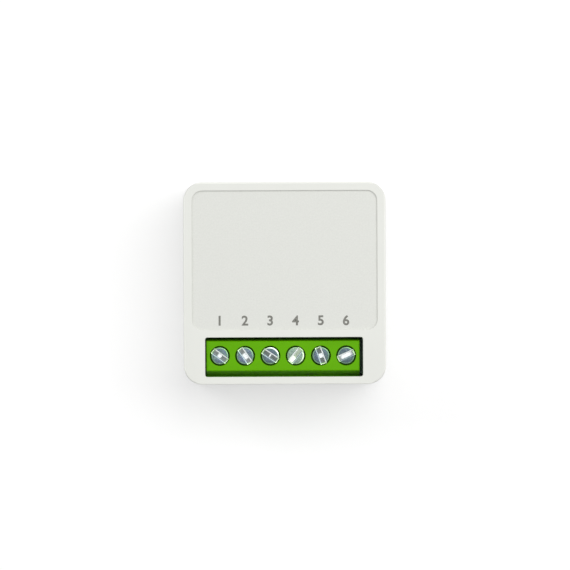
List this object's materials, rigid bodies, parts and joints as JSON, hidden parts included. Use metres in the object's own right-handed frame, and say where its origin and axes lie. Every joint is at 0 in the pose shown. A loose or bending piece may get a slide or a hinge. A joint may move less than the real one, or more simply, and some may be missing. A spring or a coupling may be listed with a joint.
{
  "type": "smart relay module",
  "caption": "Flush-mounted smart relay module: square white casing with a recessed label face and a green screw terminal block.",
  "frame": {"origin": "middle of the casing's outline, on its underside", "axes": "+Z out of the label face, +X along the terminal row to the right, +Y away from the terminal row"},
  "size_m": [0.04, 0.04, 0.018],
  "materials": {
    "housing_white": "fine satin moulding",
    "terminal_green": "satin",
    "screw_steel": "zinc plated, turned",
    "cage_steel": "zinc plated",
    "tinned_copper": "tinned",
    "contact_brass": "plated",
    "board_green": "solder mask",
    "solder": "bright solder",
    "relay_shell": "satin",
    "relay_mouldings": "satin",
    "bobbin_white": "satin",
    "copper_winding": "enamelled wire",
    "soft_iron": "nickel plated",
    "spring_bronze": "rolled",
    "contact_silver": "polished",
    "can_aluminium": "sleeved",
    "bung_rubber": "matt",
    "wound_paper": "wound foil and paper",
    "varistor_blue": "epoxy",
    "resistor_green": "lacquer",
    "ferrite": "sintered",
    "chip_black": "moulded",
    "ceramic_tan": "fired",
    "clear_guide": "clear plastic",
    "switch_dome_steel": "stamped"
  },
  "bodies": {
    "module": {"label_shell": "housing_white", "base_shell": "housing_white", "light_pipe": "clear_guide", "switch_case": "chip_black", "switch_dome": "switch_dome_steel", "terminal_housing": "terminal_green", "terminal_contacts": "contact_brass", "relay_cover": "relay_shell", "relay_base": "relay_mouldings", "relay_load_pins": "tinned_copper", "relay_coil_pins": "tinned_copper", "relay_bobbin": "bobbin_white", "relay_winding": "copper_winding", "relay_core": "soft_iron", "relay_yoke": "soft_iron", "relay_return_spring": "spring_bronze", "relay_fixed_plate": "contact_brass", "relay_fixed_contact": "contact_silver", "capacitor_cans": "can_aluminium", "capacitor_bungs": "bung_rubber", "capacitor_rolls": "wound_paper", "component_leads": "tinned_copper", "varistor_disc": "varistor_blue", "fuse_resistor_body": "resistor_green", "choke_core": "ferrite", "choke_winding": "copper_winding", "main_board": "board_green", "solder_joints": "solder", "mcu_chip": "chip_black", "power_chip": "chip_black", "bridge_rectifier": "chip_black", "radio_chip": "chip_black", "chip_legs": "tinned_copper", "radio_board": "board_green", "radio_pins": "contact_brass", "crystal_can": "can_aluminium", "power_diodes": "chip_black", "chip_resistors": "chip_black", "chip_capacitors": "ceramic_tan", "status_led": "clear_guide", "aerial_coil": "copper_winding"},
    "button": {"learn_button": "housing_white", "switch_plunger": "relay_mouldings"},
    "armature": {"relay_armature": "soft_iron", "relay_contact_leaf": "spring_bronze", "relay_moving_contact": "contact_silver"},
    "screw_1": {"clamp_screw_1": "screw_steel"},
    "cage_1": {"clamp_cage_1": "cage_steel"},
    "screw_2": {"clamp_screw_2": "screw_steel"},
    "cage_2": {"clamp_cage_2": "cage_steel"},
    "screw_3": {"clamp_screw_3": "screw_steel"},
    "cage_3": {"clamp_cage_3": "cage_steel"},
    "screw_4": {"clamp_screw_4": "screw_steel"},
    "cage_4": {"clamp_cage_4": "cage_steel"},
    "screw_5": {"clamp_screw_5": "screw_steel"},
    "cage_5": {"clamp_cage_5": "cage_steel"},
    "screw_6": {"clamp_screw_6": "screw_steel"},
    "cage_6": {"clamp_cage_6": "cage_steel"}
  },
  "joints": [
    {"name": "learn_button_press", "type": "slide", "parent": "module", "child": "button", "axis": [0, 0, 1], "range_m": [0, 0.00025], "stiffness_N_per_m": 2000, "springref_m": -0.0003, "deforming": ["switch_dome"]},
    {"name": "relay_armature_pull", "type": "hinge", "parent": "module", "child": "armature", "pos_m": [-0.01595, 0.00253, 0.0113], "axis": [0, 0, -1], "range_deg": [0, 3.4], "stiffness_Nm_per_rad": 0.05, "springref_deg": -4.01, "deforming": ["relay_return_spring"]},
    {"name": "screw_turn_1", "type": "hinge", "parent": "module", "child": "screw_1", "pos_m": [-0.01289, -0.01435, 0.012], "axis": [0, 0, -1], "range_deg": [0, 1801]},
    {"name": "cage_rise_1", "type": "slide", "parent": "module", "child": "cage_1", "axis": [0, 0, 1], "range_m": [0, 0.00225]},
    {"name": "screw_turn_2", "type": "hinge", "parent": "module", "child": "screw_2", "pos_m": [-0.00789, -0.01435, 0.012], "axis": [0, 0, -1], "range_deg": [0, 1801]},
    {"name": "cage_rise_2", "type": "slide", "parent": "module", "child": "cage_2", "axis": [0, 0, 1], "range_m": [0, 0.00225]},
    {"name": "screw_turn_3", "type": "hinge", "parent": "module", "child": "screw_3", "pos_m": [-0.00289, -0.01435, 0.012], "axis": [0, 0, -1], "range_deg": [0, 1801]},
    {"name": "cage_rise_3", "type": "slide", "parent": "module", "child": "cage_3", "axis": [0, 0, 1], "range_m": [0, 0.00225]},
    {"name": "screw_turn_4", "type": "hinge", "parent": "module", "child": "screw_4", "pos_m": [0.00211, -0.01435, 0.012], "axis": [0, 0, -1], "range_deg": [0, 1801]},
    {"name": "cage_rise_4", "type": "slide", "parent": "module", "child": "cage_4", "axis": [0, 0, 1], "range_m": [0, 0.00225]},
    {"name": "screw_turn_5", "type": "hinge", "parent": "module", "child": "screw_5", "pos_m": [0.00711, -0.01435, 0.012], "axis": [0, 0, -1], "range_deg": [0, 1801]},
    {"name": "cage_rise_5", "type": "slide", "parent": "module", "child": "cage_5", "axis": [0, 0, 1], "range_m": [0, 0.00225]},
    {"name": "screw_turn_6", "type": "hinge", "parent": "module", "child": "screw_6", "pos_m": [0.01211, -0.01435, 0.012], "axis": [0, 0, -1], "range_deg": [0, 1801]},
    {"name": "cage_rise_6", "type": "slide", "parent": "module", "child": "cage_6", "axis": [0, 0, 1], "range_m": [0, 0.00225]}
  ],
  "couplings": [
    {"joint": "screw_turn_1", "follows": "cage_rise_1", "rad_per_m": 13963},
    {"joint": "screw_turn_2", "follows": "cage_rise_2", "rad_per_m": 13963},
    {"joint": "screw_turn_3", "follows": "cage_rise_3", "rad_per_m": 13963},
    {"joint": "screw_turn_4", "follows": "cage_rise_4", "rad_per_m": 13963},
    {"joint": "screw_turn_5", "follows": "cage_rise_5", "rad_per_m": 13963},
    {"joint": "screw_turn_6", "follows": "cage_rise_6", "rad_per_m": 13963}
  ]
}
